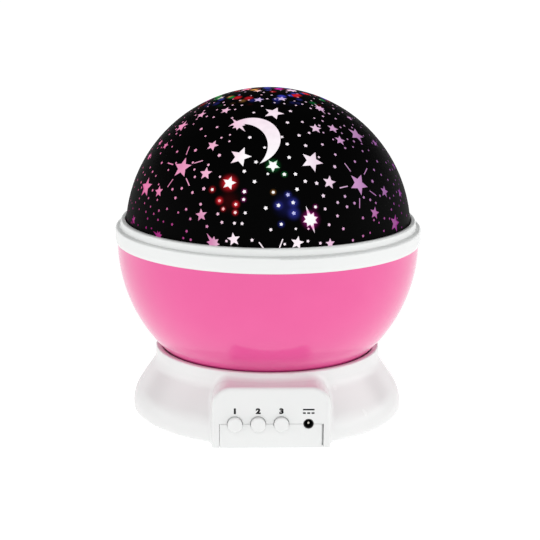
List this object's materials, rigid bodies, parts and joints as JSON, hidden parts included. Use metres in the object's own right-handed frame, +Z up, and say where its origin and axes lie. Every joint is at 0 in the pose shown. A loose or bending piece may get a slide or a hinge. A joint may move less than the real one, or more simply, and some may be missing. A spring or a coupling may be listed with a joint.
{
  "type": "star night light projector",
  "caption": "Table-top night light: a star-pierced black dome in a white ring and pink bowl turns on a flared white base with push buttons and a power inlet.",
  "frame": {"origin": "on the head's turning axis, level with the undersides of the rubber feet", "axes": "+Z up along the turning axis, -Y towards the front with the control panel, +X to the right of a viewer facing the panel"},
  "size_m": [0.128, 0.128, 0.1372],
  "materials": {
    "skin_black": "glossy black skin",
    "clear_lens": "clear moulded dome",
    "white_shell": "glossy white moulding",
    "pink_shell": "glossy pink moulding",
    "natural_nylon": "natural nylon",
    "screw_steel": "zinc plated",
    "motor_metal": "drawn can",
    "contact_metal": "nickel plated",
    "board_green": "solder mask",
    "black_plastic": "black moulding",
    "foot_rubber": "soft grey rubber",
    "cell_wrap": "shrink sleeve",
    "lead_insulation": "PVC insulation",
    "lamp_warm_white": "clear epoxy",
    "lamp_red": "clear epoxy",
    "lamp_green": "clear epoxy",
    "lamp_blue": "clear epoxy"
  },
  "bodies": {
    "base": {"aaa_cells": "cell_wrap", "base_screws": "screw_steel", "base_shell": "white_shell", "battery_lead": "lead_insulation", "blue_led": "lamp_blue", "bottom_cover": "white_shell", "column_screws": "screw_steel", "control_board": "board_green", "dc_jack": "black_plastic", "gear_motor": "motor_metal", "green_led": "lamp_green", "jack_pin": "contact_metal", "led_board": "board_green", "led_lead": "lead_insulation", "light_column": "white_shell", "motor_lead": "lead_insulation", "motor_screws": "screw_steel", "negative_springs": "contact_metal", "positive_contacts": "contact_metal", "push_switches": "black_plastic", "red_led": "lamp_red", "retaining_clip": "screw_steel", "rubber_feet": "foot_rubber", "thrust_washer": "natural_nylon", "warm_white_led": "lamp_warm_white"},
    "head": {"star_mask": "skin_black", "dome_lens": "clear_lens", "dome_ring": "white_shell", "bowl": "pink_shell", "reflector_plate": "white_shell", "plate_screws": "screw_steel", "drive_gear": "natural_nylon", "gear_screws": "screw_steel"},
    "motor_drive": {"pinion": "natural_nylon", "motor_shaft": "screw_steel"},
    "button_1": {"button_cap_1": "white_shell", "switch_plunger_1": "black_plastic"},
    "button_2": {"button_cap_2": "white_shell", "switch_plunger_2": "black_plastic"},
    "button_3": {"button_cap_3": "white_shell", "switch_plunger_3": "black_plastic"},
    "battery_lid": {"battery_door": "white_shell"}
  },
  "joints": [
    {"name": "head_turn", "type": "hinge", "parent": "base", "child": "head", "pos_m": [0, 0, 0.028], "axis": [0, 0, 1], "continuous": true},
    {"name": "pinion_turn", "type": "hinge", "parent": "base", "child": "motor_drive", "pos_m": [0.0365, 0, 0.024], "axis": [0, 0, 1], "continuous": true},
    {"name": "button_1_press", "type": "slide", "parent": "base", "child": "button_1", "axis": [0, 1, 0], "range_m": [0, 0.0015], "stiffness_N_per_m": 150},
    {"name": "button_2_press", "type": "slide", "parent": "base", "child": "button_2", "axis": [0, 1, 0], "range_m": [0, 0.0015], "stiffness_N_per_m": 150},
    {"name": "button_3_press", "type": "slide", "parent": "base", "child": "button_3", "axis": [0, 1, 0], "range_m": [0, 0.0015], "stiffness_N_per_m": 150},
    {"name": "battery_door_swing", "type": "hinge", "parent": "base", "child": "battery_lid", "pos_m": [0, -0.01935, 0.00085], "axis": [-1, 0, 0], "range_deg": [0, 80]}
  ],
  "couplings": [
    {"joint": "pinion_turn", "follows": "head_turn", "ratio": -4.6154}
  ]
}
